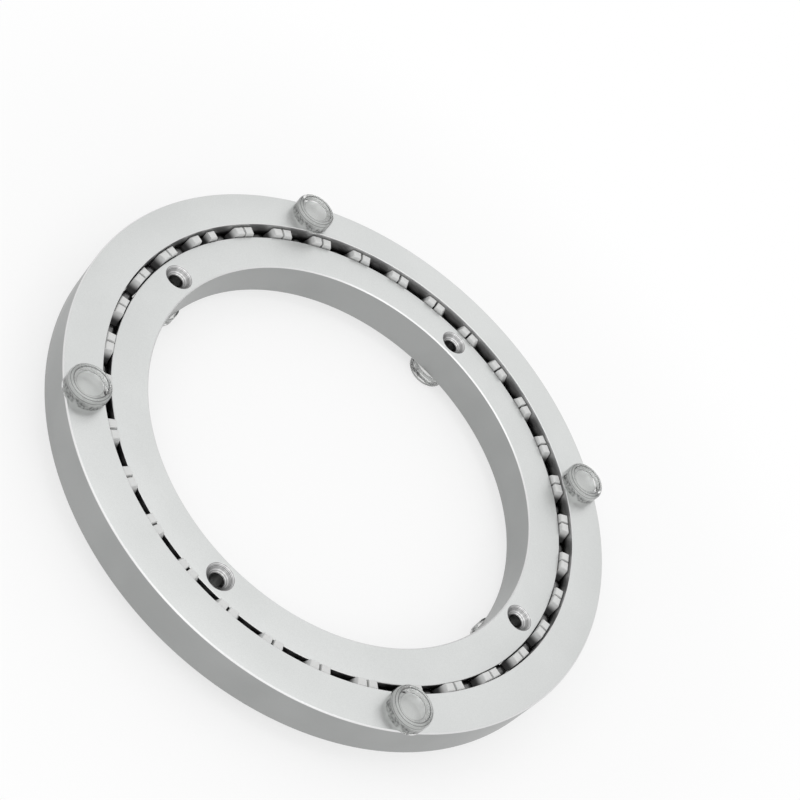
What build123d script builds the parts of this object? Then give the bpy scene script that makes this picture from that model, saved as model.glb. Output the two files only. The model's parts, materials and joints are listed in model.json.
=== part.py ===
from build123d import *
import os
from math import cos, degrees, radians, sin, sqrt, tan

os.makedirs("parts", exist_ok=True)

# Two turned aluminium rings of one height
ring_diameter = 140.0
outer_ring_width = 9.0
inner_ring_width = 8.7
ring_height = 9.5
edge_chamfer = 0.3
gap_chamfer = 0.1

# The race: a round groove in each ring, nearer to one face, so the rings stand stepped
race_gap = 2.6
race_to_near_face = 3.875
race_clearance = 0.1

# Steel balls
ball_diameter = 5.0
ball_count = 33

# Split crown cage of nylon strip, horns upward
cage_clearance = 0.3
cage_web = 1.1
strip_round = 0.4
horn_recess = 0.65
horn_taper = 20.0
horn_round = 0.45
pocket_clearance = 0.15
pocket_mouth = 4.2
slit_width = 0.5
slit_round = 0.25
split_width = 3.15
split_angle = 345.8

# Countersunk screw holes in the inner ring
screw_count = 4
screw_hole = 3.4
countersink_mouth = 6.6
countersink_angle = 90.0

# Clear bumpers: pads on the outer ring, feet under the inner ring
bumper_count = 4
bumper_diameter = 10.0
bumper_height = 3.5
bumper_draft = 1.0
bumper_round = 0.8
dish_mouth = 7.8
dish_floor = 6.1
dish_depth = 0.6
pad_start_angle = 45.0

# Radii that follow
outer_radius = ring_diameter / 2
outer_inside = outer_radius - outer_ring_width
inner_outside = outer_inside - race_gap
bore_radius = inner_outside - inner_ring_width
pitch_radius = (outer_inside + inner_outside) / 2
race_radius = ball_diameter / 2 + race_clearance
cage_inside = inner_outside + cage_clearance
cage_outside = outer_inside - cage_clearance
pad_circle = (outer_radius + outer_inside) / 2
screw_circle = (inner_outside + bore_radius) / 2

# Heights that follow, from the table under the feet
inner_bottom = bumper_height
inner_top = inner_bottom + ring_height
race_height = inner_top - race_to_near_face
outer_bottom = race_height - race_to_near_face
outer_top = outer_bottom + ring_height
pocket_radius = ball_diameter / 2 + pocket_clearance
cage_bottom = race_height - pocket_radius - cage_web
cage_top = outer_top - horn_recess
horn_height = cage_top - race_height

# Pocket spacing: the strip's two ends leave one slit wider than the others
split_extra = degrees((split_width - slit_width) / pitch_radius)
pocket_pitch = (360 - split_extra) / ball_count
strip_start = split_angle + split_extra / 2
pocket_angles = [strip_start + (i + 0.5) * pocket_pitch for i in range(ball_count)]
slit_angles = [strip_start + i * pocket_pitch for i in range(1, ball_count)]


def radial_plane(angle, radius, height):
    """A plane facing outward at an angle round the bearing, with its y axis up."""
    out = Vector(cos(radians(angle)), sin(radians(angle)), 0)
    along = Vector(-sin(radians(angle)), cos(radians(angle)), 0)
    return Plane(origin=out * radius + Vector(0, 0, height), x_dir=along, z_dir=out)


def by_gap(section):
    """A section's corners, those at the gap between the rings first."""
    return sorted(section.vertices(), key=lambda v: abs(v.X - pitch_radius))


def turned_ring(inside, outside, bottom):
    """A ring turned from bar with broken edges and the ball groove cut into it."""
    centre = Pos((inside + outside) / 2, bottom + ring_height / 2)
    blank = centre * Rectangle(outside - inside, ring_height)
    blank = chamfer(by_gap(blank)[2:], edge_chamfer)
    blank = chamfer(by_gap(blank)[:2], gap_chamfer)
    groove = Pos(pitch_radius, race_height) * Circle(race_radius)
    return revolve(Plane.XZ * (blank - groove), Axis.Z)


def screw_holes():
    """The countersunk holes, opening upward."""
    spots = PolarLocations(screw_circle, screw_count)
    drill = CounterSinkHole(
        radius=screw_hole / 2,
        counter_sink_radius=countersink_mouth / 2,
        depth=ring_height + 1,
        counter_sink_angle=countersink_angle,
    )
    return [Pos(0, 0, inner_top) * spot * drill for spot in spots]


def open_above(opening, half_width, tip_round):
    """An opening carried on above the horns, with the horn tips on its two sides rounded."""
    above = Pos(0, horn_height + cage_web / 2) * Rectangle(2 * half_width + 4 * tip_round, cage_web)
    flare = opening + above
    tips = [v for v in flare.vertices() if abs(abs(v.X) - half_width) < 1e-6 and abs(v.Y - horn_height) < 1e-6]
    return fillet(tips, tip_round)


def pocket_profile():
    """The opening for one ball: round below, with tapered mouth flanks and rounded horn tips."""
    lip = pocket_mouth / 2
    lip_height = sqrt(pocket_radius**2 - lip**2)
    tip = lip + (horn_height - lip_height) * tan(radians(horn_taper))
    mouth = Polygon(
        (-lip, lip_height),
        (lip, lip_height),
        (tip, horn_height),
        (-tip, horn_height),
        align=None,
    )
    return open_above(mouth, tip, horn_round) + Circle(pocket_radius)


def slit_profile():
    """The slit that parts a pair of horns down to the middle of the balls."""
    slot = Pos(0, horn_height / 2) * Rectangle(slit_width, horn_height)
    return open_above(slot, slit_width / 2, slit_round)


def ball_cage():
    """A strip bent to a ring, split at one place, with a pocket for each ball and slit horns between."""
    band = Pos(pitch_radius, (cage_bottom + cage_top) / 2) * Rectangle(
        cage_outside - cage_inside, cage_top - cage_bottom
    )
    ring = Rot(0, 0, split_angle) * revolve(Plane.XZ * fillet(band.vertices(), strip_round), Axis.Z)
    reach = cage_outside - cage_inside + 2
    pocket = pocket_profile()
    slit = slit_profile()
    split = Pos(0, (cage_bottom + cage_top) / 2 - race_height) * Rectangle(
        split_width, cage_top - cage_bottom + 2
    )
    pockets = [extrude(radial_plane(a, cage_inside - 1, race_height) * pocket, reach) for a in pocket_angles]
    slits = [extrude(radial_plane(a, cage_inside - 1, race_height) * slit, reach) for a in slit_angles]
    slits += [extrude(radial_plane(split_angle, cage_inside - 1, race_height) * split, reach)]
    return ring - pockets - slits


def bumper():
    """A clear bumper standing on its sticky base, with a draft, a rounded rim and a dished top."""
    base = bumper_diameter / 2
    top = base - bumper_height * tan(radians(bumper_draft))
    section = Polygon(
        (0, 0),
        (base, 0),
        (top, bumper_height),
        (dish_mouth / 2, bumper_height),
        (dish_floor / 2, bumper_height - dish_depth),
        (0, bumper_height - dish_depth),
        align=None,
    )
    rim = section.vertices().sort_by_distance((top, bumper_height))[0]
    return revolve(Plane.XZ * fillet(rim, bumper_round), Axis.Z)


parts = {
    "outer_ring": turned_ring(outer_inside, outer_radius, outer_bottom),
    "inner_ring": turned_ring(bore_radius, inner_outside, inner_bottom) - screw_holes(),
    "ball_cage": ball_cage(),
}

ball = Sphere(ball_diameter / 2)
for number, angle in enumerate(pocket_angles, 1):
    seat = Rot(0, 0, angle) * Pos(pitch_radius, 0, race_height)
    parts[f"ball_{number:02d}"] = seat * ball

stud = bumper()
for number, spot in enumerate(PolarLocations(pad_circle, bumper_count, pad_start_angle), 1):
    parts[f"pad_{number}"] = Pos(0, 0, outer_top) * spot * stud
for number, spot in enumerate(PolarLocations(screw_circle, bumper_count), 1):
    parts[f"foot_{number}"] = Pos(0, 0, inner_bottom) * spot * Rot(180, 0, 0) * stud

for name, solid in parts.items():
    export_step(solid, f"parts/{name}.step")
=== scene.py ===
import json
import math

import bpy
from bpy.props import FloatProperty, FloatVectorProperty, IntProperty, PointerProperty
from bpy.types import Operator, Panel, PropertyGroup
from mathutils import Matrix, Vector


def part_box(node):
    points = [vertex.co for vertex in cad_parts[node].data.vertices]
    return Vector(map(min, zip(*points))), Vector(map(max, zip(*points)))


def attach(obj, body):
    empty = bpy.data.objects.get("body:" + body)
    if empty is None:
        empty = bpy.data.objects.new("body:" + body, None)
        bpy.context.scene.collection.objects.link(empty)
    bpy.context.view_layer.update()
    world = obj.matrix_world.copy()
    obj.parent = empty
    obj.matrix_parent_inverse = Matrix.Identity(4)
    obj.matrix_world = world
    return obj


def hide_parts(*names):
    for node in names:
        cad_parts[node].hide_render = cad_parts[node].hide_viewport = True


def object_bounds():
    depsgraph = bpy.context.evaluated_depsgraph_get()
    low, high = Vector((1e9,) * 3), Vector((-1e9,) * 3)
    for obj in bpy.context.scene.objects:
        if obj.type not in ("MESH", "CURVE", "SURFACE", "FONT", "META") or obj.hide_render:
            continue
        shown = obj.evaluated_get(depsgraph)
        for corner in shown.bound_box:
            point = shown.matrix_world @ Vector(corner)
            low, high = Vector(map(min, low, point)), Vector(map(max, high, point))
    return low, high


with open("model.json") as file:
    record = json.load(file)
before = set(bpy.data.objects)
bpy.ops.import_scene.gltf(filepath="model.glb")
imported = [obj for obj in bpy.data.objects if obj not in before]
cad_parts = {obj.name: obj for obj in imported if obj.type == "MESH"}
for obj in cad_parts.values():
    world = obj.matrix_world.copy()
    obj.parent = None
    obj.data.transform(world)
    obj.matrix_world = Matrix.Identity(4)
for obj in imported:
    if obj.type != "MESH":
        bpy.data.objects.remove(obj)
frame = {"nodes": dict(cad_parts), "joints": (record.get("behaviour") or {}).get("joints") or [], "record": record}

bl_info = {
    "name": "Ring Bearing Dresser",
    "version": (1, 0, 0),
    "blender": (4, 5, 0),
    "location": "View3D > Sidebar > Bearing",
    "description": "Dresses a turntable ring bearing and sets its stage",
    "category": "Object",
}

MM = 0.001
CAD_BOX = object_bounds()

# What the frame says about the bearing, in metres
OUTER_LOW, OUTER_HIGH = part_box("outer_ring")
INNER_LOW, INNER_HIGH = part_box("inner_ring")
CAGE_LOW, CAGE_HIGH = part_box("ball_cage")
BALL_LOW, BALL_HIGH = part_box("ball_01")
PAD_LOW, PAD_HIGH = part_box("pad_1")
FOOT_LOW, FOOT_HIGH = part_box("foot_1")
SCREWS = next(m["dims"] for m in frame["record"]["mounts"] if m["name"] == "base_screws")
BALL_CENTRES = [Vector(j["pos_m"]) for j in frame["joints"] if j["name"].endswith("_roll")]
BALL_NODES = sorted(n for n in frame["nodes"] if n.startswith("ball_") and n != "ball_cage")
PAD_NODES = sorted(n for n in frame["nodes"] if n.startswith("pad_"))
FOOT_NODES = sorted(n for n in frame["nodes"] if n.startswith("foot_"))

# Radii and heights that follow from them
OUTER_RADIUS = OUTER_HIGH.x
INNER_OUTSIDE = INNER_HIGH.x
PITCH_RADIUS = BALL_CENTRES[0].xy.length
RACE_HEIGHT = BALL_CENTRES[0].z
BALL_RADIUS = (BALL_HIGH.z - BALL_LOW.z) / 2
OUTER_INSIDE = 2 * PITCH_RADIUS - INNER_OUTSIDE
SCREW_CIRCLE = SCREWS["pcd_mm"] / 2 * MM
BORE_RADIUS = 2 * SCREW_CIRCLE - INNER_OUTSIDE
CAGE_OUTSIDE = CAGE_HIGH.y
CAGE_INSIDE = 2 * PITCH_RADIUS - CAGE_OUTSIDE
HORN_HEIGHT = CAGE_HIGH.z - RACE_HEIGHT
PAD_CENTRE = (PAD_LOW + PAD_HIGH) / 2
FOOT_CENTRE = (FOOT_LOW + FOOT_HIGH) / 2
BUMPER_RADIUS = (PAD_HIGH.x - PAD_LOW.x) / 2
BUMPER_HEIGHT = PAD_HIGH.z - PAD_LOW.z

# The attribute that holds a point's place in its own bumper
BUMPER_SPOT = "bumper_spot"

# How finely round shapes are drawn
EDGE_STEPS = 3
ARC_STEPS = 6
GROOVE_STEPS = 14
CUP_STEPS = 36
DRILL_STEPS = 64
STRIP_EDGE_STEPS = 5
SHARP_ANGLE = math.radians(28)

# How near two points count as one, in metres
SAME_WALL = 1e-9
SAME_CUTTER_POINT = 1e-7
SAME_BUMPER_POINT = 1e-6

# Marks per metre in the finishes
TURNING_SCALE = 4200.0
GRAIN_SCALE = 5200.0
BLOOM_SCALE = 55.0
CUTTER_SCALE = 6000.0
CLOUD_SCALE = 240.0
SKIN_SCALE = 2600.0
FILM_SCALE = 700.0
BUMPER_SKIN_SCALE = 420.0
HAZE_SCALE = 1600.0
PATCH_SCALE = 250.0
PATCH_RISE_SCALE = 150.0

# Tones in the finishes and in the painted shade and reflections, dark and light where there are two
CUTTER_TONES = (0.14, 0.62)
# painted shade in the depth of the gap
GAP_SHADE_TONES = (0.06, 0.58)
# painted shade in the drilled holes
HOLE_SHADE_TONE = 0.3
GRAIN_TONE = 0.3
# painted shade below the horn tips
NYLON_SHADE_TONE = 0.06
# painted reflections in the sides of the bumpers
PATCH_REFLECTION_TONE = 0.05


def bearing_angle(point):
    """The angle of a point round the bearing, in radians from +X."""
    return math.atan2(point.y, point.x)


POCKET_PITCH = (bearing_angle(BALL_CENTRES[1]) - bearing_angle(BALL_CENTRES[0])) % math.tau
FIRST_POCKET = bearing_angle(BALL_CENTRES[0])
SPLIT_EXTRA = math.tau - len(BALL_CENTRES) * POCKET_PITCH
SPLIT_ANGLE = FIRST_POCKET - (POCKET_PITCH + SPLIT_EXTRA) / 2


class RingSettings(PropertyGroup):
    """Sizes and finish of the two turned rings."""

    segments: IntProperty(name="Segments", description="Steps round each ring", default=384, min=64)
    chamfer: FloatProperty(
        name="Chamfer",
        description="Broken edge of the rings",
        default=0.3 * MM,
        subtype="DISTANCE",
        unit="LENGTH",
    )
    gap_chamfer: FloatProperty(
        name="Gap Chamfer",
        description="Broken edge beside the gap",
        default=0.1 * MM,
        subtype="DISTANCE",
        unit="LENGTH",
    )
    edge_round: FloatProperty(
        name="Edge Round",
        description="Radius at a chamfer's edges, as a share of the chamfer",
        default=0.3,
        subtype="FACTOR",
    )
    race_clearance: FloatProperty(
        name="Race Clearance",
        description="Room between ball and groove",
        default=0.1 * MM,
        subtype="DISTANCE",
        unit="LENGTH",
    )
    countersink_mouth: FloatProperty(
        name="Countersink Mouth",
        description="Radius of a countersink at the face",
        default=3.3 * MM,
        subtype="DISTANCE",
        unit="LENGTH",
    )
    colour: FloatVectorProperty(
        name="Aluminium",
        description="Colour of the flat faces",
        default=(0.6, 0.612, 0.606),
        subtype="COLOR",
        size=3,
    )
    # painted shade: the turned walls get a darker colour than the flat faces
    wall_shade: FloatProperty(
        name="Wall Shade",
        description="Tone of the turned walls beside the flat faces",
        default=0.6,
        subtype="FACTOR",
    )
    # partly bare cut metal and partly a painted highlight: the chamfers get a lighter colour than the flat faces
    cut_and_highlight_tone: FloatProperty(
        name="Cut Shade",
        description="Tone of the bare cut chamfers",
        default=0.74,
        subtype="FACTOR",
    )
    roughness: FloatProperty(
        name="Roughness",
        description="Mean roughness of the satin finish",
        default=0.42,
        subtype="FACTOR",
    )


class CageSettings(PropertyGroup):
    """Sizes and colour of the moulded cage strip."""

    segments: IntProperty(name="Segments", description="Steps round the strip", default=594, min=99)
    pocket_clearance: FloatProperty(
        name="Pocket Clearance",
        description="Room between ball and pocket",
        default=0.15 * MM,
        subtype="DISTANCE",
        unit="LENGTH",
    )
    pocket_mouth: FloatProperty(
        name="Pocket Mouth",
        description="Half width of the snap mouth above a ball",
        default=2.1 * MM,
        subtype="DISTANCE",
        unit="LENGTH",
    )
    horn_taper: FloatProperty(
        name="Horn Taper",
        description="Slope of a horn's flank",
        default=math.radians(20),
        subtype="ANGLE",
        unit="ROTATION",
    )
    horn_round: FloatProperty(
        name="Horn Round",
        description="Radius of a horn's tip",
        default=0.45 * MM,
        subtype="DISTANCE",
        unit="LENGTH",
    )
    slit: FloatProperty(
        name="Slit",
        description="Width of the slit in a pair of horns",
        default=0.5 * MM,
        subtype="DISTANCE",
        unit="LENGTH",
    )
    slit_round: FloatProperty(
        name="Slit Round",
        description="Radius of a slit's mouth",
        default=0.25 * MM,
        subtype="DISTANCE",
        unit="LENGTH",
    )
    strip_round: FloatProperty(
        name="Strip Round",
        description="Radius of the strip's long edges",
        default=0.4 * MM,
        subtype="DISTANCE",
        unit="LENGTH",
    )
    colour: FloatVectorProperty(
        name="Nylon",
        description="Colour of the natural nylon",
        default=(0.68, 0.685, 0.678),
        subtype="COLOR",
        size=3,
    )


class BallSettings(PropertyGroup):
    """Finish of the steel balls, whose dark colour is painted shade."""

    # painted shade: the steel's colour is kept dark so the balls read as shade in the gap
    colour: FloatVectorProperty(
        name="Steel",
        description="Colour of the greased balls",
        default=(0.12, 0.12, 0.12),
        subtype="COLOR",
        size=3,
    )


class BumperSettings(PropertyGroup):
    """Sizes and tint of the clear pads and feet."""

    segments: IntProperty(name="Segments", description="Steps round a bumper", default=96, min=24)
    draft: FloatProperty(
        name="Draft",
        description="Slope of a bumper's side",
        default=math.radians(1),
        subtype="ANGLE",
        unit="ROTATION",
    )
    rim_round: FloatProperty(
        name="Rim Round",
        description="Radius of the rim",
        default=0.8 * MM,
        subtype="DISTANCE",
        unit="LENGTH",
    )
    dish_mouth: FloatProperty(
        name="Dish Mouth",
        description="Radius of the dish at the rim",
        default=3.9 * MM,
        subtype="DISTANCE",
        unit="LENGTH",
    )
    dish_floor: FloatProperty(
        name="Dish Floor",
        description="Radius of the dish at its floor",
        default=3.05 * MM,
        subtype="DISTANCE",
        unit="LENGTH",
    )
    dish_depth: FloatProperty(
        name="Dish Depth",
        description="Depth of the dished top",
        default=0.6 * MM,
        subtype="DISTANCE",
        unit="LENGTH",
    )
    bedding: FloatProperty(
        name="Bedding",
        description="How far the sticky base beds into the finish of the ring",
        default=0.04 * MM,
        subtype="DISTANCE",
        unit="LENGTH",
    )
    colour: FloatVectorProperty(
        name="Clear Plastic",
        description="Tint of the clear plastic",
        default=(0.97, 0.975, 0.965),
        subtype="COLOR",
        size=3,
    )


class StageSettings(PropertyGroup):
    """Camera, light and floor."""

    azimuth: FloatProperty(
        name="Azimuth",
        description="Where the camera stands, from +X",
        default=math.radians(89.77),
        subtype="ANGLE",
        unit="ROTATION",
    )
    elevation: FloatProperty(
        name="Elevation",
        description="How high the camera stands",
        default=math.radians(40.47),
        subtype="ANGLE",
        unit="ROTATION",
    )
    roll: FloatProperty(
        name="Roll",
        description="Turn of the camera about its line of sight",
        default=math.radians(45.2),
        subtype="ANGLE",
        unit="ROTATION",
    )
    distance: FloatProperty(
        name="Distance",
        description="From the camera to its aim",
        default=413.9 * MM,
        subtype="DISTANCE",
        unit="LENGTH",
    )
    aim: FloatVectorProperty(
        name="Aim",
        description="Where the camera looks in the plane of the outer ring's top",
        default=(-0.55 * MM, -21.95 * MM),
        subtype="XYZ_LENGTH",
        unit="LENGTH",
        size=2,
    )
    lens: FloatProperty(
        name="Lens",
        description="Focal length in millimetres",
        default=79.85,
        subtype="DISTANCE_CAMERA",
        unit="CAMERA",
    )
    floor_colour: FloatVectorProperty(
        name="Floor",
        description="Colour of the plain floor",
        default=(0.96, 0.96, 0.96),
        subtype="COLOR",
        size=3,
    )
    floor_reach: FloatProperty(
        name="Floor Reach",
        description="From the middle of the floor to its edge",
        default=20.0,
        subtype="DISTANCE",
        unit="LENGTH",
    )
    floor_drop: FloatProperty(
        name="Floor Drop",
        description="From the feet down to the floor",
        default=0.02 * MM,
        subtype="DISTANCE",
        unit="LENGTH",
    )
    floor_white: FloatProperty(
        name="Floor White",
        description="Share of plain white that the floor shows beside the bearing",
        default=0.65,
        subtype="FACTOR",
    )
    sky: FloatProperty(
        name="Sky",
        description="Strength of the even light",
        default=0.72,
        subtype="FACTOR",
    )
    key_power: FloatProperty(
        name="Key",
        description="Power of the large lamp over the bearing",
        default=0.82,
        unit="POWER",
    )
    key_size: FloatProperty(
        name="Key Size",
        description="Side of the large lamp",
        default=0.7,
        subtype="DISTANCE",
        unit="LENGTH",
    )
    key_height: FloatProperty(
        name="Key Height",
        description="From the aim up to the large lamp",
        default=0.8,
        subtype="DISTANCE",
        unit="LENGTH",
    )
    key_setback: FloatProperty(
        name="Key Setback",
        description="From the aim back to the large lamp",
        default=0.1,
        subtype="DISTANCE",
        unit="LENGTH",
    )
    back_power: FloatProperty(
        name="Back",
        description="Power of the low lamp behind the bearing",
        default=0.16,
        unit="POWER",
    )
    back_size: FloatProperty(
        name="Back Size",
        description="Side of the low lamp",
        default=0.4,
        subtype="DISTANCE",
        unit="LENGTH",
    )
    back_height: FloatProperty(
        name="Back Height",
        description="From the aim up to the low lamp",
        default=0.42,
        subtype="DISTANCE",
        unit="LENGTH",
    )
    back_setback: FloatProperty(
        name="Back Setback",
        description="From the aim back to the low lamp",
        default=0.7,
        subtype="DISTANCE",
        unit="LENGTH",
    )
    front_power: FloatProperty(
        name="Front",
        description="Power of each of the three lamps round the camera",
        default=0.34,
        unit="POWER",
    )
    front_size: FloatProperty(
        name="Front Size",
        description="Side of each of those lamps",
        default=0.25,
        subtype="DISTANCE",
        unit="LENGTH",
    )
    front_distance: FloatProperty(
        name="Front Distance",
        description="From the aim to those lamps, along the floor and up",
        default=0.5,
        subtype="DISTANCE",
        unit="LENGTH",
    )
    front_spread: FloatProperty(
        name="Front Spread",
        description="Turn from one of those lamps to the next",
        default=math.radians(50),
        subtype="ANGLE",
        unit="ROTATION",
    )


class Wire:
    """An output socket, with arithmetic that adds Math nodes."""

    def __init__(self, graph, socket):
        self.graph = graph
        self.socket = socket

    def also(self, name):
        """Another output of the same node."""
        return Wire(self.graph, self.socket.node.outputs[name])

    def __add__(self, other):
        return self.graph.math("ADD", self, other)

    def __radd__(self, other):
        return self.graph.math("ADD", other, self)

    def __sub__(self, other):
        return self.graph.math("SUBTRACT", self, other)

    def __rsub__(self, other):
        return self.graph.math("SUBTRACT", other, self)

    def __mul__(self, other):
        return self.graph.math("MULTIPLY", self, other)

    def __pow__(self, other):
        return self.graph.math("POWER", self, other)

    def __abs__(self):
        return self.graph.math("ABSOLUTE", self)


class Graph:
    """A node tree with one way to add a node."""

    def __init__(self, tree):
        self.tree = tree

    def add(self, kind, settings=None, sockets=None, output=0):
        """Adds a node, applies its settings, fills or links its sockets and returns one output."""
        node = self.tree.nodes.new(kind)
        for name, value in (settings or {}).items():
            setattr(node, name, value)
        for key, value in (sockets or {}).items():
            for item in value if isinstance(value, list) else [value]:
                if isinstance(item, Wire):
                    self.tree.links.new(item.socket, node.inputs[key])
                else:
                    node.inputs[key].default_value = item
        return Wire(self, node.outputs[output]) if len(node.outputs) else node

    def math(self, operation, *values):
        """A Math node on the given values."""
        return self.add("ShaderNodeMath", {"operation": operation}, dict(enumerate(values)))

    def mix(self, factor, a, b):
        """Blends two colours."""
        return self.add("ShaderNodeMix", {"data_type": "RGBA"}, {0: factor, 6: a, 7: b}, output=2)

    def smooth(self, value, low, high, to_low=0.0, to_high=1.0):
        """Maps a value smoothly from one range to another."""
        return self.add(
            "ShaderNodeMapRange",
            {"interpolation_type": "SMOOTHSTEP"},
            {"Value": value, 1: low, 2: high, 3: to_low, 4: to_high},
        )

    def noise(self, vector, scale, detail=2.0):
        """Soft noise from 0 to 1."""
        return self.add("ShaderNodeTexNoise", {}, {"Vector": vector, "Scale": scale, "Detail": detail})

    def bump(self, height, strength, distance):
        """A normal with fine relief."""
        return self.add(
            "ShaderNodeBump",
            {},
            {"Strength": strength, "Distance": distance, "Height": height},
        )

    def vector(self, x, y, z):
        """A vector from its three parts."""
        return self.add("ShaderNodeCombineXYZ", {}, {0: x, 1: y, 2: z})

    def split(self, vector):
        """The three parts of a vector."""
        x = self.add("ShaderNodeSeparateXYZ", {}, {"Vector": vector})
        return x, x.also("Y"), x.also("Z")


def new_material(name):
    """An empty node material and its graph."""
    material = bpy.data.materials.new(name)
    material.use_nodes = True
    material.node_tree.nodes.clear()
    return material, Graph(material.node_tree)


def surface(graph, shader):
    """Ends a material in a shader."""
    graph.add("ShaderNodeOutputMaterial", {}, {"Surface": shader})


def principled(graph, sockets):
    """Ends a material in a Principled shader."""
    surface(graph, graph.add("ShaderNodeBsdfPrincipled", {}, sockets))


def object_place(graph):
    """Object coordinates."""
    return graph.add("ShaderNodeTexCoord", output="Object")


def flat_length(x, y):
    """The length of a flat vector."""
    return (x * x + y * y) ** 0.5


def grey(level):
    """A neutral colour."""
    return (level, level, level, 1.0)


def tint(colour, share=1.0):
    """A setting's colour, or a share of it, for a socket."""
    return (*[c * share for c in colour], 1.0)


def satin_aluminium(settings):
    """Turned and lightly blasted aluminium, with fine marks round the bearing and in its sinks, painted shade on
    its walls, in the gap and in its holes, and a painted highlight on its chamfers.
    """
    material, graph = new_material("satin_aluminium")
    spot = object_place(graph)
    x, y, z = graph.split(spot)
    radius = flat_length(x, y)
    turning = graph.noise(graph.vector(radius * TURNING_SCALE, z * TURNING_SCALE, 0.0), 1.0, 3.0)
    grain = graph.noise(spot, GRAIN_SCALE)
    bloom = graph.noise(spot, BLOOM_SCALE)

    # the four countersinks lie on the axes, so one quarter stands for all
    along = graph.math("MAXIMUM", abs(x), abs(y)) - SCREW_CIRCLE
    across = graph.math("MINIMUM", abs(x), abs(y))
    from_hole = flat_length(along, across)
    mouth, drilled = settings.countersink_mouth, SCREWS["hole_r_mm"] * MM
    sink = 1 - graph.smooth(from_hole, mouth * 0.97, mouth)
    hole = 1 - graph.smooth(from_hole, drilled, drilled * 1.03)
    cutter = graph.noise(graph.vector(from_hole * CUTTER_SCALE, 0.0, 0.0), 1.0)
    cutter_tone = graph.mix(graph.smooth(cutter, 0.42, 0.58), *map(grey, CUTTER_TONES))

    # painted shade and highlight: the walls are darker than the flat faces, and the cut chamfers lighter, partly
    # as bare cut metal and partly as a painted highlight
    facing = graph.add("ShaderNodeTexCoord", output="Normal")
    upright = abs(graph.split(facing)[2])
    flat = graph.smooth(upright, 0.25, 0.6)
    sloped = graph.smooth(upright, 0.5, 0.65) * (1 - graph.smooth(upright, 0.78, 0.92))
    colour = graph.mix(flat, tint(settings.colour, settings.wall_shade), tint(settings.colour))
    colour = graph.mix(graph.smooth(bloom, 0.35, 0.65, 0.0, 0.05), colour, grey(1.0))
    colour = graph.mix(sloped, colour, grey(settings.cut_and_highlight_tone))
    colour = graph.mix(sink, colour, cutter_tone)

    # painted shade: the depth of the gap is darkened
    in_gap = 1 - graph.smooth(abs(radius - PITCH_RADIUS), BALL_RADIUS * 1.06, BALL_RADIUS * 1.1)
    outside = graph.smooth(radius, CAGE_INSIDE, CAGE_OUTSIDE)
    ball_top = RACE_HEIGHT + BALL_RADIUS
    shallow = graph.smooth(z, ball_top, ball_top + BALL_RADIUS * 0.5) * outside
    shallow = shallow + graph.smooth(z, ball_top, OUTER_HIGH.z) * (1 - outside)
    depth_shade = graph.mix(shallow, *map(grey, GAP_SHADE_TONES))
    colour = graph.mix(in_gap * (1 - flat), colour, depth_shade)
    # painted shade: the drilled hole is darkened
    colour = graph.mix(hole, colour, grey(HOLE_SHADE_TONE))
    colour = graph.mix(graph.smooth(grain, 0.3, 0.7, 0.0, 0.12), colour, grey(GRAIN_TONE))

    marks = turning * (1 - sink) * 0.5 + grain * 0.5 + cutter * sink * 6
    principled(
        graph,
        {
            "Base Color": colour,
            "Metallic": 1.0,
            "Roughness": settings.roughness - 0.04 + bloom * 0.05 + grain * 0.03 - sink * 0.09,
            "Normal": graph.bump(marks, 0.12, 0.02 * MM),
        },
    )
    return material


def natural_nylon(settings):
    """Moulded natural nylon, slightly waxy, with painted shade below the horn tips."""
    material, graph = new_material("natural_nylon")
    spot = object_place(graph)
    height = graph.split(spot)[2]
    cloud = graph.noise(spot, CLOUD_SCALE)
    skin = graph.noise(spot, SKIN_SCALE, 3.0)
    colour = graph.mix(graph.smooth(cloud, 0.3, 0.7), tint(settings.colour, 0.97), tint(settings.colour))
    # painted shade: the strip darkens with depth below the horn tips
    depth_shade = 1 - graph.smooth(height, CAGE_HIGH.z - 2.4 * MM, CAGE_HIGH.z - 0.6 * MM)
    principled(
        graph,
        {
            "Base Color": graph.mix(depth_shade, colour, grey(NYLON_SHADE_TONE)),
            "Roughness": 0.42 + cloud * 0.12,
            "Subsurface Weight": 0.15,
            "Subsurface Radius": (1.0, 0.95, 0.9),
            "Subsurface Scale": 0.4 * MM,
            "Normal": graph.bump(skin, 0.15, 0.03 * MM),
        },
    )
    return material


def polished_steel(settings):
    """Ground and polished ball steel with a thin oily film, its colour kept dark as painted shade."""
    material, graph = new_material("polished_steel")
    film = graph.noise(object_place(graph), FILM_SCALE, 3.0)
    colour = graph.mix(graph.smooth(film, 0.35, 0.65), tint(settings.colour), tint(settings.colour, 0.9))
    principled(graph, {"Base Color": colour, "Metallic": 1.0, "Roughness": 0.1 + film * 0.12})
    return material


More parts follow.
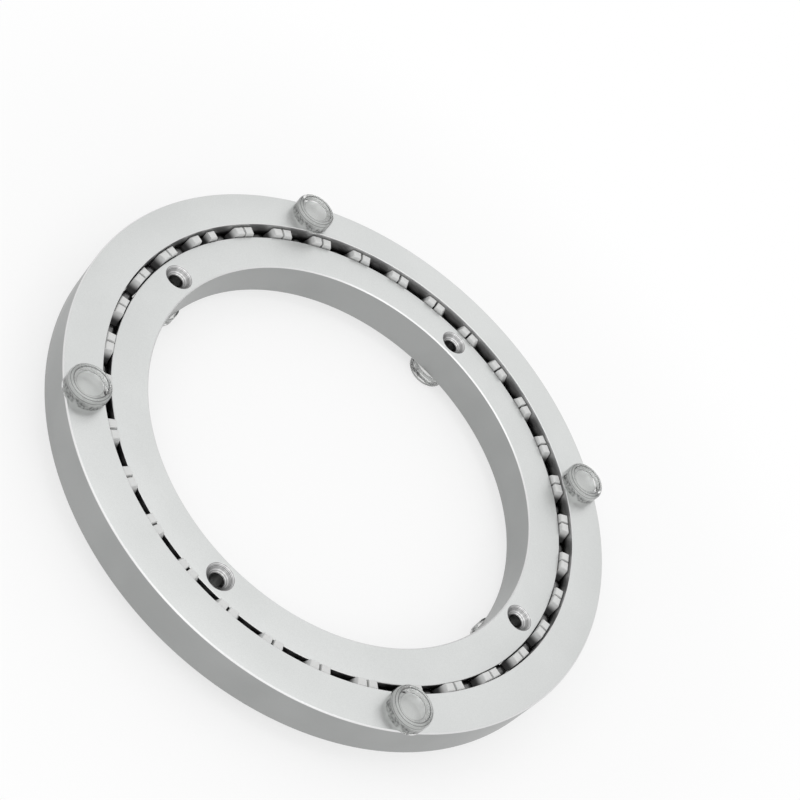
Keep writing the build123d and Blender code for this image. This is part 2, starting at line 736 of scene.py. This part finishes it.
def clear_plastic(settings):
    """Clear soft plastic, with painted reflections that make it darker in its side and along the edges of its rim.
    """
    material, graph = new_material("clear_plastic")
    spot = graph.add("ShaderNodeAttribute", {"attribute_name": BUMPER_SPOT}, {}, output="Vector")
    x, y, height = graph.split(spot)
    radius = flat_length(x, y)
    skin = graph.noise(spot, BUMPER_SKIN_SCALE)
    haze = graph.noise(spot, HAZE_SCALE)
    patch_spot = graph.vector(x * PATCH_SCALE, y * PATCH_SCALE, height * PATCH_RISE_SCALE)
    patch = graph.noise(patch_spot, 1.0)

    # painted reflections: mottled dark patches in the side
    shoulder = BUMPER_HEIGHT - settings.rim_round
    side = graph.smooth(height, shoulder * 0.12, shoulder * 0.25)
    side = side * (1 - graph.smooth(height, shoulder * 0.8, shoulder))
    mottle = graph.smooth(patch, 0.45, 0.57) * graph.smooth(haze, 0.35, 0.65, 0.5, 1.0)
    shade = graph.mix(side * mottle, tint(settings.colour), grey(PATCH_REFLECTION_TONE))

    def line(value, at, core, reach):
        """1 along a thin line, whose core and reach are in millimetres."""
        return 1 - graph.smooth(abs(value - at), core * MM, reach * MM)

    # painted reflections: thin dark lines along the rim and the dish, each with its tone
    on_top = graph.smooth(height, shoulder, BUMPER_HEIGHT - settings.dish_depth)
    rim_edge = BUMPER_RADIUS - settings.rim_round * 0.55
    lines = (
        (line(height, shoulder, 0.05, 0.15), 0.15),
        (line(radius, rim_edge, 0.02, 0.1) * on_top, 0.12),
        (line(radius, settings.dish_mouth, 0.04, 0.2) * on_top, 0.08),
        (line(radius, settings.dish_floor, 0.02, 0.12) * on_top, 0.45),
    )
    for mask, tone in lines:
        shade = graph.mix(mask, shade, grey(tone))
    principled(
        graph,
        {
            "Base Color": shade,
            "Roughness": 0.01 + haze * 0.02,
            "IOR": 1.46,
            "Transmission Weight": 1.0,
            "Normal": graph.bump(skin, 0.1, 0.01 * MM),
        },
    )
    return material


def arc(centre, radius, start, end, steps):
    """Points on an arc, both ends included, angles in radians."""
    return [
        (centre[0] + radius * math.cos(a), centre[1] + radius * math.sin(a))
        for a in (start + (end - start) * i / steps for i in range(steps + 1))
    ]


def rounded(points, radii, steps=EDGE_STEPS):
    """A closed outline with its corners replaced by arcs of the given radii."""
    out = []
    count = len(points)
    for i, (corner, radius) in enumerate(zip(points, radii)):
        if radius <= 0:
            out.append(corner)
            continue
        here = Vector(corner)
        back = (Vector(points[i - 1]) - here).normalized()
        ahead = (Vector(points[(i + 1) % count]) - here).normalized()
        half = back.angle(ahead) / 2
        centre = here + (back + ahead).normalized() * (radius / math.sin(half))
        first = here + back * (radius / math.tan(half)) - centre
        turn = first.angle_signed(here + ahead * (radius / math.tan(half)) - centre)
        for k in range(steps + 1):
            bent = first.copy()
            bent.rotate(Matrix.Rotation(-turn * k / steps, 2))
            out.append(tuple(centre + bent))
    return out


def outline_object(name, points, closed=True):
    """An object whose mesh is an outline of edges in its own XY plane."""
    mesh = bpy.data.meshes.new(name)
    edges = [(i, i + 1) for i in range(len(points) - 1)]
    if closed:
        edges.append((len(points) - 1, 0))
    mesh.from_pydata([(p[0], p[1], 0.0) for p in points], edges, [])
    piece = bpy.data.objects.new(name, mesh)
    bpy.context.scene.collection.objects.link(piece)
    return piece


def new_tree(name, inputs):
    """A geometry tree with named inputs, and the graph that fills it."""
    tree = bpy.data.node_groups.new(name, "GeometryNodeTree")
    tree.interface.new_socket(name="Geometry", in_out="OUTPUT", socket_type="NodeSocketGeometry")
    tree.interface.new_socket(name="Geometry", in_out="INPUT", socket_type="NodeSocketGeometry")
    for label, kind in inputs.items():
        tree.interface.new_socket(name=label, in_out="INPUT", socket_type=kind)
    graph = Graph(tree)
    return tree, graph, graph.add("NodeGroupInput", output="Geometry")


def finish_tree(graph, geometry, material):
    """Ends a tree in real, smooth geometry with its material."""
    geometry = graph.add("GeometryNodeRealizeInstances", {}, {"Geometry": geometry})
    geometry = graph.add("GeometryNodeSetShadeSmooth", {}, {"Geometry": geometry})
    geometry = graph.add("GeometryNodeSetMaterial", {}, {"Geometry": geometry, "Material": material})
    graph.add("NodeGroupOutput", {}, {"Geometry": geometry})


def grown(seed, tree, values, name):
    """Runs a tree on an outline object and returns a plain mesh object with the result."""
    modifier = seed.modifiers.new("shape", "NODES")
    modifier.node_group = tree
    for item in tree.interface.items_tree:
        if item.in_out == "INPUT" and item.name in values:
            modifier[item.identifier] = values[item.name]
    depsgraph = bpy.context.evaluated_depsgraph_get()
    mesh = bpy.data.meshes.new_from_object(seed.evaluated_get(depsgraph), depsgraph=depsgraph)
    seed.modifiers.clear()
    bpy.data.objects.remove(seed)
    if not mesh.polygons:
        raise RuntimeError(f"{name} came out empty")
    mesh.set_sharp_from_angle(angle=SHARP_ANGLE)
    mesh.name = name
    piece = bpy.data.objects.new(name, mesh)
    bpy.context.scene.collection.objects.link(piece)
    return piece


def circle_path(graph, radius, segments):
    """A circle round the z axis along which a section stays upright."""
    path = graph.add(
        "GeometryNodeCurvePrimitiveCircle",
        {"mode": "RADIUS"},
        {"Resolution": segments, "Radius": radius},
    )
    return graph.add("GeometryNodeSetCurveNormal", {"mode": "Z_UP"}, {"Curve": path})


def moved(graph, geometry, shift=(0.0, 0.0, 0.0), turn=(0.0, 0.0, 0.0)):
    """Geometry turned, then shifted."""
    return graph.add(
        "GeometryNodeTransform",
        {},
        {"Geometry": geometry, "Translation": shift, "Rotation": turn},
    )


def welded(graph, geometry, reach):
    """Geometry with points that lie within reach of each other made one."""
    return graph.add("GeometryNodeMergeByDistance", {}, {"Geometry": geometry, "Distance": reach})


def ring_of_points(graph, count, radius):
    """Evenly spaced points on a circle."""
    return graph.add("GeometryNodeMeshCircle", {}, {"Vertices": count, "Radius": radius})


def sweep(graph, profile, radius, segments):
    """Turns an outline round the z axis; its x is measured from the radius."""
    path = circle_path(graph, radius, segments)
    section = graph.add("GeometryNodeMeshToCurve", {}, {"Mesh": profile})
    section = moved(graph, section, turn=(math.pi, 0.0, 0.0))
    turned = graph.add("GeometryNodeCurveToMesh", {}, {"Curve": path, "Profile Curve": section})
    return graph.add("GeometryNodeFlipFaces", {}, {"Mesh": turned})


def ring_outline(inside, outside, bottom, top, groove_side, settings):
    """The section of a ring with broken edges and the ball groove; x is from the ring's middle."""
    middle = (inside + outside) / 2
    half = (outside - inside) / 2
    left, right = settings.chamfer, settings.gap_chamfer
    if groove_side < 0:
        left, right = right, left
    corners = [
        (-half + left, bottom),
        (half - right, bottom),
        (half, bottom + right),
        (half, top - right),
        (half - right, top),
        (-half + left, top),
        (-half, top - left),
        (-half, bottom + left),
    ]
    cuts = [left, right, right, right, right, left, left, left]
    outline = rounded(corners, [settings.edge_round * cut for cut in cuts])
    race = BALL_RADIUS + settings.race_clearance
    centre = (PITCH_RADIUS - middle, RACE_HEIGHT)
    reach = math.asin(math.sqrt(race**2 - (abs(centre[0]) - half) ** 2) / race)
    if groove_side > 0:
        at = next(i for i, p in enumerate(outline) if p[0] > half - SAME_WALL and p[1] > RACE_HEIGHT)
        groove = arc(centre, race, math.pi + reach, math.pi - reach, GROOVE_STEPS)
    else:
        at = next(i for i, p in enumerate(outline) if p[0] < SAME_WALL - half and p[1] < RACE_HEIGHT)
        groove = arc(centre, race, reach, -reach, GROOVE_STEPS)
    return outline[:at] + groove + outline[at:]


def ring_tree(material):
    """A ring swept from its section."""
    inputs = {"Radius": "NodeSocketFloat", "Segments": "NodeSocketInt"}
    tree, graph, profile = new_tree("turned_ring", inputs)
    ring = sweep(graph, profile, profile.also("Radius"), profile.also("Segments"))
    finish_tree(graph, ring, material)
    return tree


def drilled_ring_tree(material):
    """A ring swept from its section, with countersunk holes on a circle."""
    floats = ["Radius", "Hole Circle", "Hole Radius", "Mouth Radius", "Top", "Height"]
    inputs = {name: "NodeSocketFloat" for name in floats}
    inputs.update({"Segments": "NodeSocketInt", "Hole Count": "NodeSocketInt"})
    tree, graph, profile = new_tree("drilled_ring", inputs)
    ring = sweep(graph, profile, profile.also("Radius"), profile.also("Segments"))
    hole, mouth, top = profile.also("Hole Radius"), profile.also("Mouth Radius"), profile.also("Top")
    depth = mouth - hole
    drill = graph.add(
        "GeometryNodeMeshCylinder",
        {"fill_type": "NGON"},
        {"Vertices": DRILL_STEPS, "Radius": hole, "Depth": profile.also("Height") * 3},
        output="Mesh",
    )
    drill = moved(graph, drill, graph.vector(0.0, 0.0, top - depth))
    cone = graph.add(
        "GeometryNodeMeshCone",
        {"fill_type": "NGON"},
        {
            "Vertices": DRILL_STEPS,
            "Radius Top": mouth + depth,
            "Radius Bottom": hole,
            "Depth": depth * 2,
        },
        output="Mesh",
    )
    cone = moved(graph, cone, graph.vector(0.0, 0.0, top - depth))
    spots = ring_of_points(graph, profile.also("Hole Count"), profile.also("Hole Circle"))
    for cutter in (drill, cone):
        cutters = graph.add("GeometryNodeInstanceOnPoints", {}, {"Points": spots, "Instance": cutter})
        cutters = graph.add("GeometryNodeRealizeInstances", {}, {"Geometry": cutters})
        ring = graph.add(
            "GeometryNodeMeshBoolean",
            {"operation": "DIFFERENCE", "solver": "EXACT"},
            {"Mesh 1": ring, "Mesh 2": cutters},
            output="Mesh",
        )
    finish_tree(graph, ring, material)
    return tree


def open_above(lower, half_width, tip_round):
    """Closes an opening above the horns, with the horn tips on its two sides rounded."""
    wide = half_width + 2 * tip_round
    over = HORN_HEIGHT + MM
    upper = [
        (-half_width, HORN_HEIGHT),
        (-wide, HORN_HEIGHT),
        (-wide, over),
        (wide, over),
        (wide, HORN_HEIGHT),
        (half_width, HORN_HEIGHT),
    ]
    tip_rounds = [tip_round, 0, 0, 0, 0, tip_round]
    return rounded(lower + upper, [0] * len(lower) + tip_rounds, steps=ARC_STEPS)


def pocket_outline(settings):
    """The opening for one ball, seen along the radius, with heights above the ball's centre."""
    pocket = BALL_RADIUS + settings.pocket_clearance
    lip = settings.pocket_mouth
    lip_height = math.sqrt(pocket**2 - lip**2)
    tip = lip + (HORN_HEIGHT - lip_height) * math.tan(settings.horn_taper)
    start = math.acos(lip / pocket)
    cup = arc((0, 0), pocket, start, -math.pi - start, CUP_STEPS)
    return open_above(cup, tip, settings.horn_round)


def slit_outline(settings):
    """The slit in a pair of horns, from the middle of the balls up."""
    half = settings.slit / 2
    return open_above([(half, 0), (-half, 0)], half, settings.slit_round)


def cage_tree(material):
    """The cage strip: a band with a pocket for each ball, a slit in each pair of horns and a split."""
    sizes = ["Inside", "Outside", "Bottom", "Top", "Edge Round", "Race Height", "Split"]
    angles = ["Pitch", "First", "Split Angle"]
    inputs = {name: "NodeSocketFloat" for name in sizes + angles}
    inputs.update({"Pockets": "NodeSocketInt", "Segments": "NodeSocketInt"})
    inputs["Slit Section"] = "NodeSocketObject"
    tree, graph, pocket = new_tree("cage_strip", inputs)
    inside, outside = pocket.also("Inside"), pocket.also("Outside")
    bottom, top, race = pocket.also("Bottom"), pocket.also("Top"), pocket.also("Race Height")
    reach = (outside - inside) * 3
    middle = (inside + outside) * 0.5

    # the plain band
    band = graph.add(
        "GeometryNodeCurvePrimitiveQuadrilateral",
        {"mode": "RECTANGLE"},
        {"Width": outside - inside, "Height": top - bottom},
    )
    band = graph.add(
        "GeometryNodeFilletCurve",
        {"mode": "POLY"},
        {"Curve": band, "Count": STRIP_EDGE_STEPS, "Radius": pocket.also("Edge Round")},
    )
    path = circle_path(graph, middle, pocket.also("Segments"))
    band = graph.add("GeometryNodeCurveToMesh", {}, {"Curve": path, "Profile Curve": band})
    band = moved(graph, band, graph.vector(0.0, 0.0, (bottom + top) * 0.5))

    def punch(section):
        """A cutter with an outline's shape, lying along the x axis through the strip."""
        face = graph.add("GeometryNodeMeshToCurve", {}, {"Mesh": section})
        face = graph.add("GeometryNodeFillCurve", {"mode": "NGONS"}, {"Curve": face})
        body = graph.add(
            "GeometryNodeExtrudeMesh",
            {"mode": "FACES"},
            {"Mesh": face, "Offset": (0.0, 0.0, 1.0), "Offset Scale": reach, "Individual": False},
            output="Mesh",
        )
        back = graph.add("GeometryNodeFlipFaces", {}, {"Mesh": face})
        cutter = graph.add("GeometryNodeJoinGeometry", {}, {"Geometry": [back, body]})
        cutter = welded(graph, cutter, SAME_CUTTER_POINT)
        start = graph.vector(middle - reach * 0.5, 0.0, race)
        return moved(graph, cutter, start, (math.pi / 2, 0.0, math.pi / 2))

    def ranked(instance, count, start):
        """Copies of a cutter at the pocket pitch."""
        points = graph.add("GeometryNodePoints", {}, {"Count": count})
        turn = graph.add("GeometryNodeInputIndex") * pocket.also("Pitch") + start
        copies = graph.add(
            "GeometryNodeInstanceOnPoints",
            {},
            {"Points": points, "Instance": instance, "Rotation": graph.vector(0.0, 0.0, turn)},
        )
        return graph.add("GeometryNodeRealizeInstances", {}, {"Geometry": copies})

    first, pitch = pocket.also("First"), pocket.also("Pitch")
    pockets = ranked(punch(pocket), pocket.also("Pockets"), first)
    slit_section = pocket.also("Slit Section")
    slit = graph.add("GeometryNodeObjectInfo", {}, {"Object": slit_section}, output="Geometry")
    slits = ranked(punch(slit), pocket.also("Pockets") - 1, first + pitch * 0.5)
    split_size = graph.vector(reach, pocket.also("Split"), (top - bottom) * 2)
    split = graph.add("GeometryNodeMeshCube", {}, {"Size": split_size}, output="Mesh")
    split = moved(graph, split, graph.vector(middle, 0.0, race))
    split = moved(graph, split, turn=graph.vector(0.0, 0.0, pocket.also("Split Angle")))
    strip = graph.add(
        "GeometryNodeMeshBoolean",
        {"operation": "DIFFERENCE", "solver": "EXACT"},
        {"Mesh 1": band, "Mesh 2": [pockets, slits, split]},
        output="Mesh",
    )
    finish_tree(graph, strip, material)
    return tree


def bumper_outline(settings):
    """Half the section of a bumper, from base to dish; x is from the bumper's edge."""
    top = BUMPER_RADIUS - BUMPER_HEIGHT * math.tan(settings.draft)
    floor = BUMPER_HEIGHT - settings.dish_depth
    base_round, dish_round = settings.rim_round * 0.15, settings.rim_round * 0.2
    corners = [
        (0, -settings.bedding),
        (BUMPER_RADIUS, -settings.bedding),
        (top, BUMPER_HEIGHT),
        (settings.dish_mouth, BUMPER_HEIGHT),
        (settings.dish_floor, floor),
        (0, floor),
    ]
    radii = [0, base_round, settings.rim_round, dish_round, dish_round, 0]
    return [(x - BUMPER_RADIUS, z) for x, z in rounded(corners, radii, steps=ARC_STEPS)]


def bumper_tree(material):
    """Bumpers turned from one section and set round the bearing."""
    floats = ["Radius", "Circle", "Seat", "Turn", "Flip"]
    inputs = {name: "NodeSocketFloat" for name in floats}
    inputs.update({"Segments": "NodeSocketInt", "Count": "NodeSocketInt"})
    tree, graph, profile = new_tree("bumpers", inputs)
    bumper = sweep(graph, profile, profile.also("Radius"), profile.also("Segments"))
    bumper = welded(graph, bumper, SAME_BUMPER_POINT)
    bumper = graph.add(
        "GeometryNodeStoreNamedAttribute",
        {"data_type": "FLOAT_VECTOR", "domain": "POINT"},
        {"Geometry": bumper, "Name": BUMPER_SPOT, "Value": graph.add("GeometryNodeInputPosition")},
    )
    bumper = moved(graph, bumper, turn=graph.vector(profile.also("Flip"), 0.0, 0.0))
    spots = ring_of_points(graph, profile.also("Count"), profile.also("Circle"))
    seat = graph.vector(0.0, 0.0, profile.also("Seat"))
    spots = moved(graph, spots, seat, graph.vector(0.0, 0.0, profile.also("Turn")))
    bumpers = graph.add("GeometryNodeInstanceOnPoints", {}, {"Points": spots, "Instance": bumper})
    finish_tree(graph, bumpers, material)
    return tree


class BEARING_OT_rings(Operator):
    """Turn both rings in satin aluminium"""

    bl_idname = "bearing.rings"
    bl_label = "Rings"

    def execute(self, context):
        settings = context.scene.bearing_rings
        metal = satin_aluminium(settings)
        outline = ring_outline(OUTER_INSIDE, OUTER_RADIUS, OUTER_LOW.z, OUTER_HIGH.z, -1, settings)
        outer = grown(
            outline_object("outer_section", outline),
            ring_tree(metal),
            {"Radius": (OUTER_INSIDE + OUTER_RADIUS) / 2, "Segments": settings.segments},
            "outer_ring_turned",
        )
        outline = ring_outline(BORE_RADIUS, INNER_OUTSIDE, INNER_LOW.z, INNER_HIGH.z, 1, settings)
        inner = grown(
            outline_object("inner_section", outline),
            drilled_ring_tree(metal),
            {
                "Radius": (BORE_RADIUS + INNER_OUTSIDE) / 2,
                "Segments": settings.segments,
                "Hole Count": SCREWS["count"],
                "Hole Circle": SCREW_CIRCLE,
                "Hole Radius": SCREWS["hole_r_mm"] * MM,
                "Mouth Radius": settings.countersink_mouth,
                "Top": INNER_HIGH.z,
                "Height": INNER_HIGH.z - INNER_LOW.z,
            },
            "inner_ring_turned",
        )
        for piece, node in ((outer, "outer_ring"), (inner, "inner_ring")):
            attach(piece, node)
            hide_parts(node)
        return {"FINISHED"}


class BEARING_OT_cage(Operator):
    """Mould the split cage strip with its horns"""

    bl_idname = "bearing.cage"
    bl_label = "Cage"

    def execute(self, context):
        settings = context.scene.bearing_cage
        slit = outline_object("slit_section", slit_outline(settings))
        cage = grown(
            outline_object("pocket_section", pocket_outline(settings)),
            cage_tree(natural_nylon(settings)),
            {
                "Inside": CAGE_INSIDE,
                "Outside": CAGE_OUTSIDE,
                "Bottom": CAGE_LOW.z,
                "Top": CAGE_HIGH.z,
                "Race Height": RACE_HEIGHT,
                "Pitch": POCKET_PITCH,
                "First": FIRST_POCKET,
                "Edge Round": settings.strip_round,
                "Slit Section": slit,
                "Split": settings.slit + SPLIT_EXTRA * PITCH_RADIUS,
                "Split Angle": SPLIT_ANGLE,
                "Pockets": len(BALL_CENTRES),
                "Segments": settings.segments,
            },
            "cage_strip_moulded",
        )
        bpy.data.objects.remove(slit)
        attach(cage, "cage")
        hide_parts("ball_cage")
        return {"FINISHED"}


class BEARING_OT_balls(Operator):
    """Polish the balls"""

    bl_idname = "bearing.balls"
    bl_label = "Balls"

    def execute(self, context):
        steel = polished_steel(context.scene.bearing_balls)
        for name in BALL_NODES:
            frame["nodes"][name].material_slots[0].material = steel
        return {"FINISHED"}


class BEARING_OT_bumpers(Operator):
    """Set the clear pads on the outer ring and the clear feet under the inner ring"""

    bl_idname = "bearing.bumpers"
    bl_label = "Pads and Feet"

    def execute(self, context):
        settings = context.scene.bearing_bumpers
        tree = bumper_tree(clear_plastic(settings))
        rows = (
            ("pads_clear", PAD_NODES, "outer_ring", PAD_CENTRE, PAD_LOW.z, 0.0),
            ("feet_clear", FOOT_NODES, "inner_ring", FOOT_CENTRE, FOOT_HIGH.z, math.pi),
        )
        for name, nodes, body, centre, seat, flip in rows:
            piece = grown(
                outline_object(name + "_section", bumper_outline(settings), closed=False),
                tree,
                {
                    "Radius": BUMPER_RADIUS,
                    "Circle": centre.xy.length,
                    "Seat": seat,
                    "Turn": bearing_angle(centre),
                    "Flip": flip,
                    "Segments": settings.segments,
                    "Count": len(nodes),
                },
                name,
            )
            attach(piece, body)
            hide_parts(*nodes)
        return {"FINISHED"}


def background_rays(graph):
    """1 for the rays that show the background: to the camera, off metal and through clear plastic."""
    path = graph.add("ShaderNodeLightPath", output="Is Camera Ray")
    seen = graph.math("MAXIMUM", path, path.also("Is Glossy Ray"))
    return graph.math("MAXIMUM", seen, path.also("Is Transmission Ray"))


def floor_material(settings):
    """A plain pale floor that keeps the bearing's shadow and is plain white away from it."""
    material, graph = new_material("pale_floor")
    x, y = graph.split(object_place(graph))[:2]
    near, far = OUTER_RADIUS * 1.3, OUTER_RADIUS * 2.5
    share = graph.smooth(flat_length(x, y), near, far, settings.floor_white, 1.0)
    seen = background_rays(graph) * share
    matt = graph.add("ShaderNodeBsdfDiffuse", {}, {"Color": tint(settings.floor_colour)})
    white = graph.add("ShaderNodeEmission", {}, {"Color": grey(1.0), "Strength": 1.0})
    surface(graph, graph.add("ShaderNodeMixShader", {}, {0: seen, 1: matt, 2: white}))
    return material


def even_sky(settings):
    """Even light, shown as plain white to the camera, to metal and through clear plastic."""
    world = bpy.data.worlds.new("even_sky")
    world.use_nodes = True
    world.node_tree.nodes.clear()
    graph = Graph(world.node_tree)
    level = background_rays(graph) * (1 - settings.sky) + settings.sky
    sky = graph.add("ShaderNodeBackground", {}, {"Color": grey(1.0), "Strength": level})
    graph.add("ShaderNodeOutputWorld", {}, {"Surface": sky})
    return world


def area_lamp(name, power, size, spot, aim):
    """A soft square lamp at a spot, turned to its aim."""
    light = bpy.data.lights.new(name, "AREA")
    light.energy = power
    light.shape = "SQUARE"
    light.size = size
    lamp = bpy.data.objects.new(name, light)
    lamp.location = spot
    lamp.rotation_euler = (aim - spot).to_track_quat("-Z", "Y").to_euler()
    bpy.context.scene.collection.objects.link(lamp)


def lay_floor(settings):
    """A square floor just under the feet."""
    reach = settings.floor_reach
    under = CAD_BOX[0][2] - settings.floor_drop
    corners = [(x * reach, y * reach, under) for x, y in ((-1, -1), (1, -1), (1, 1), (-1, 1))]
    mesh = bpy.data.meshes.new("floor")
    mesh.from_pydata(corners, [], [(0, 1, 2, 3)])
    mesh.materials.append(floor_material(settings))
    floor = bpy.data.objects.new("floor", mesh)
    bpy.context.scene.collection.objects.link(floor)


def heading(azimuth):
    """A level direction."""
    return Vector((math.cos(azimuth), math.sin(azimuth), 0))


def set_camera(settings, aim):
    """The camera at the photograph's view."""
    toward = heading(settings.azimuth) * math.cos(settings.elevation)
    toward.z = math.sin(settings.elevation)
    lens = bpy.data.cameras.new("photo_view")
    lens.sensor_width = 36.0
    lens.lens = settings.lens
    lens.clip_start = 0.01
    camera = bpy.data.objects.new("photo_view", lens)
    camera.matrix_world = (
        Matrix.Translation(aim + toward * settings.distance)
        @ (-toward).to_track_quat("-Z", "Y").to_matrix().to_4x4()
        @ Matrix.Rotation(settings.roll, 4, "Z")
    )
    bpy.context.scene.collection.objects.link(camera)
    bpy.context.scene.camera = camera


def set_lamps(settings, aim):
    """A large lamp above, a low one behind and three round the camera."""
    up = Vector((0, 0, 1))
    away = -heading(settings.azimuth)
    key = aim + up * settings.key_height + away * settings.key_setback
    area_lamp("key", settings.key_power, settings.key_size, key, aim)
    back = aim + up * settings.back_height + away * settings.back_setback
    area_lamp("back", settings.back_power, settings.back_size, back, aim)
    for step, name in ((-1, "front_left"), (0, "front_middle"), (1, "front_right")):
        turn = settings.azimuth + step * settings.front_spread
        front = aim + (heading(turn) + up) * settings.front_distance
        area_lamp(name, settings.front_power, settings.front_size, front, aim)


class BEARING_OT_stage(Operator):
    """Set the floor, the light and the camera"""

    bl_idname = "bearing.stage"
    bl_label = "Stage"

    def execute(self, context):
        settings = context.scene.bearing_stage
        aim = Vector((*settings.aim, OUTER_HIGH.z))
        lay_floor(settings)
        set_camera(settings, aim)
        set_lamps(settings, aim)
        context.scene.world = even_sky(settings)
        context.scene.view_settings.view_transform = "Standard"
        return {"FINISHED"}


class BEARING_PT_panel(Panel):
    """Lists the bearing's pieces and its stage"""

    bl_idname = "BEARING_PT_panel"
    bl_label = "Ring Bearing"
    bl_space_type = "VIEW_3D"
    bl_region_type = "UI"
    bl_category = "Bearing"

    def draw(self, context):
        for operator in OPERATORS:
            self.layout.operator(operator.bl_idname)


SETTINGS = {
    "bearing_rings": RingSettings,
    "bearing_cage": CageSettings,
    "bearing_balls": BallSettings,
    "bearing_bumpers": BumperSettings,
    "bearing_stage": StageSettings,
}
OPERATORS = (BEARING_OT_rings, BEARING_OT_cage, BEARING_OT_balls, BEARING_OT_bumpers, BEARING_OT_stage)


def register():
    for name, group in SETTINGS.items():
        bpy.utils.register_class(group)
        setattr(bpy.types.Scene, name, PointerProperty(type=group))
    for cls in (*OPERATORS, BEARING_PT_panel):
        bpy.utils.register_class(cls)


def unregister():
    for cls in (BEARING_PT_panel, *reversed(OPERATORS)):
        bpy.utils.unregister_class(cls)
    for name, group in SETTINGS.items():
        delattr(bpy.types.Scene, name)
        bpy.utils.unregister_class(group)


def main():
    register()
    bpy.ops.bearing.rings()
    bpy.ops.bearing.cage()
    bpy.ops.bearing.balls()
    bpy.ops.bearing.bumpers()
    bpy.ops.bearing.stage()


if __name__ == "__main__":
    main()
